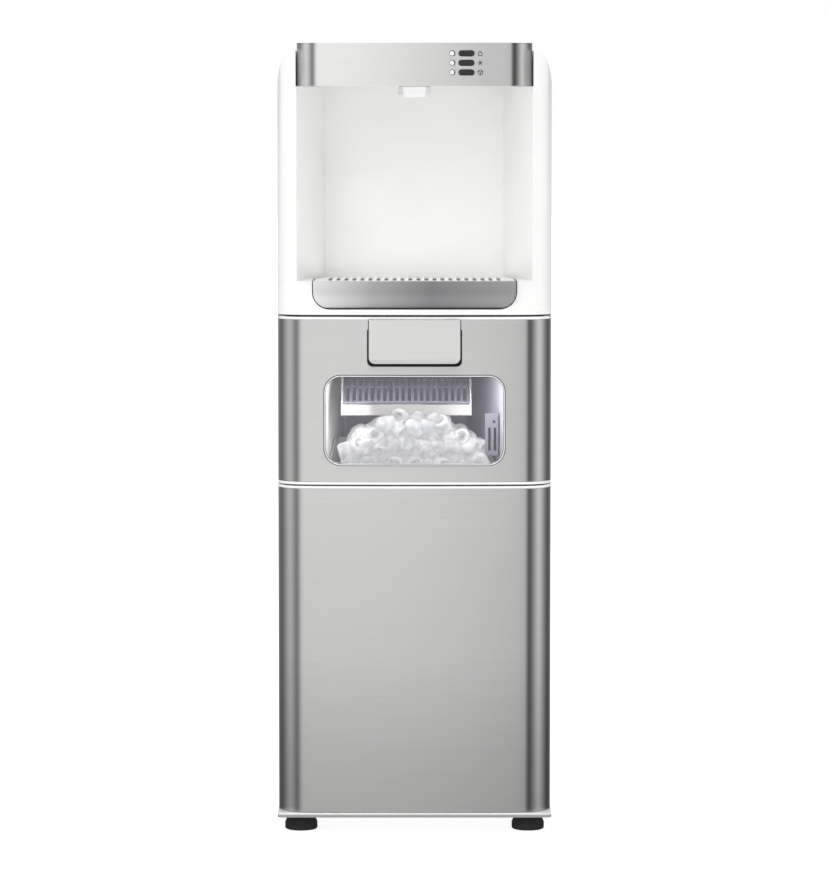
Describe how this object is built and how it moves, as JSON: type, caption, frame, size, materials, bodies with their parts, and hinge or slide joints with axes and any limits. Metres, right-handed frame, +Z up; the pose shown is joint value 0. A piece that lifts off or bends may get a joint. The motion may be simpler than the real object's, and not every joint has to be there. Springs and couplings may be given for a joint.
{
  "type": "water cooler with ice maker",
  "caption": "Floor-standing bottle-top water cooler with a dispensing bay, drip tray, tilt-out ice door with a window, and a compressor base.",
  "frame": {"origin": "on the floor under the middle of the body", "axes": "+Z up, -Y towards the front that faces the user, +X towards the user's right"},
  "size_m": [0.3676, 0.3707, 1.05],
  "materials": {
    "steel": "horizontally brushed stainless sheet, satin",
    "silver": "silver-painted plastic, smooth",
    "panel_grey": "grey coated sheet steel, satin",
    "white": "white ABS, satin",
    "black_rubber": "black rubber, matte",
    "dark_plastic": "near-black plastic, satin",
    "galvanised": "galvanised sheet, dull",
    "clear": "clear polycarbonate, glossy",
    "foam": "rigid insulation foam, matte",
    "tube_steel": "drawn stainless steel, satin",
    "copper": "copper tube, bright",
    "silicone": "food-grade silicone and clear-white polypropylene, satin",
    "gasket": "soft grey-white seal, matte",
    "circuit": "green circuit board, satin",
    "motor_case": "dark glass-filled plastic, matte",
    "black_steel": "black-painted steel can, satin",
    "black_plastic": "black moulded plastic, matte"
  },
  "bodies": {
    "cabinet": {"base_tray": "white", "rear_left_foot": "black_rubber", "rear_right_foot": "black_rubber", "left_side_panel": "panel_grey", "right_side_panel": "panel_grey", "side_vent_grille": "panel_grey", "rear_panel": "panel_grey", "power_inlet": "black_plastic", "lower_panel_skin": "steel", "lower_panel_frame": "white", "hinge_sill": "galvanised", "ice_liner": "white", "bin_full_sensor": "dark_plastic", "ice_basket": "white", "ice_maker_frame": "white", "ice_chute": "white", "tray_motor": "motor_case", "evaporator": "tube_steel", "fan_shroud": "motor_case", "condenser_coil": "copper", "lower_shelf": "galvanised", "upper_shelf": "galvanised", "upper_housing": "white", "top_cover": "white", "control_fascia": "steel", "light_guide": "clear", "control_board": "circuit", "nozzle_shroud": "white", "valve_block": "white", "bottle_seat": "white", "cold_tank": "tube_steel", "cold_tank_jacket": "foam", "hot_tank": "tube_steel", "cold_hose": "silicone", "hot_hose": "silicone", "compressor": "black_steel", "refrigerant_line": "copper", "water_reservoir": "silicone", "water_pump": "motor_case", "tray_fill_hose": "silicone", "power_board": "circuit"},
    "ice_door": {"door_skin": "steel", "door_frame": "white", "door_window": "clear", "door_tab": "steel", "door_gasket": "gasket", "hinge_rod": "tube_steel"},
    "drip_tray": {"drip_fascia": "silver", "drip_basin": "white"},
    "drip_grille": {"drip_grille": "white"},
    "water_tray": {"water_tray": "white"},
    "condenser_fan": {"condenser_fan": "dark_plastic"},
    "heating_button": {"heating_button": "dark_plastic"},
    "cooling_button": {"cooling_button": "dark_plastic"},
    "ice_button": {"ice_button": "dark_plastic"},
    "hot_water_button": {"hot_water_button": "white"},
    "cold_water_button": {"cold_water_button": "white"},
    "front_left_foot": {"front_left_foot": "black_rubber"},
    "front_right_foot": {"front_right_foot": "black_rubber"}
  },
  "joints": [
    {"name": "ice_door_hinge", "type": "hinge", "parent": "cabinet", "child": "ice_door", "pos_m": [0, -0.171, 0.482], "axis": [1, 0, 0], "range_deg": [0, 70]},
    {"name": "drip_tray_slide", "type": "slide", "parent": "cabinet", "child": "drip_tray", "axis": [0, -1, 0], "range_m": [0, 0.12]},
    {"name": "drip_grille_lift", "type": "slide", "parent": "drip_tray", "child": "drip_grille", "axis": [0, 0, 1], "range_m": [0, 0.03]},
    {"name": "water_tray_tip", "type": "hinge", "parent": "cabinet", "child": "water_tray", "pos_m": [0, 0.002, 0.645], "axis": [1, 0, 0], "range_deg": [0, 90]},
    {"name": "condenser_fan_spin", "type": "hinge", "parent": "cabinet", "child": "condenser_fan", "pos_m": [0.1573, 0.06, 0.58], "axis": [1, 0, 0], "continuous": true},
    {"name": "heating_button_press", "type": "slide", "parent": "cabinet", "child": "heating_button", "axis": [0, 1, 0], "range_m": [0, 0.0015], "stiffness_N_per_m": 500, "springref_m": -0.0005},
    {"name": "cooling_button_press", "type": "slide", "parent": "cabinet", "child": "cooling_button", "axis": [0, 1, 0], "range_m": [0, 0.0015], "stiffness_N_per_m": 500, "springref_m": -0.0005},
    {"name": "ice_button_press", "type": "slide", "parent": "cabinet", "child": "ice_button", "axis": [0, 1, 0], "range_m": [0, 0.0015], "stiffness_N_per_m": 500, "springref_m": -0.0005},
    {"name": "hot_water_button_press", "type": "slide", "parent": "cabinet", "child": "hot_water_button", "axis": [0, 0, -1], "range_m": [0, 0.003], "stiffness_N_per_m": 600, "springref_m": -0.002},
    {"name": "cold_water_button_press", "type": "slide", "parent": "cabinet", "child": "cold_water_button", "axis": [0, 0, -1], "range_m": [0, 0.003], "stiffness_N_per_m": 600, "springref_m": -0.002},
    {"name": "front_left_foot_level", "type": "slide", "parent": "cabinet", "child": "front_left_foot", "axis": [0, 0, -1], "range_m": [0, 0.012]},
    {"name": "front_right_foot_level", "type": "slide", "parent": "cabinet", "child": "front_right_foot", "axis": [0, 0, -1], "range_m": [0, 0.012]}
  ]
}
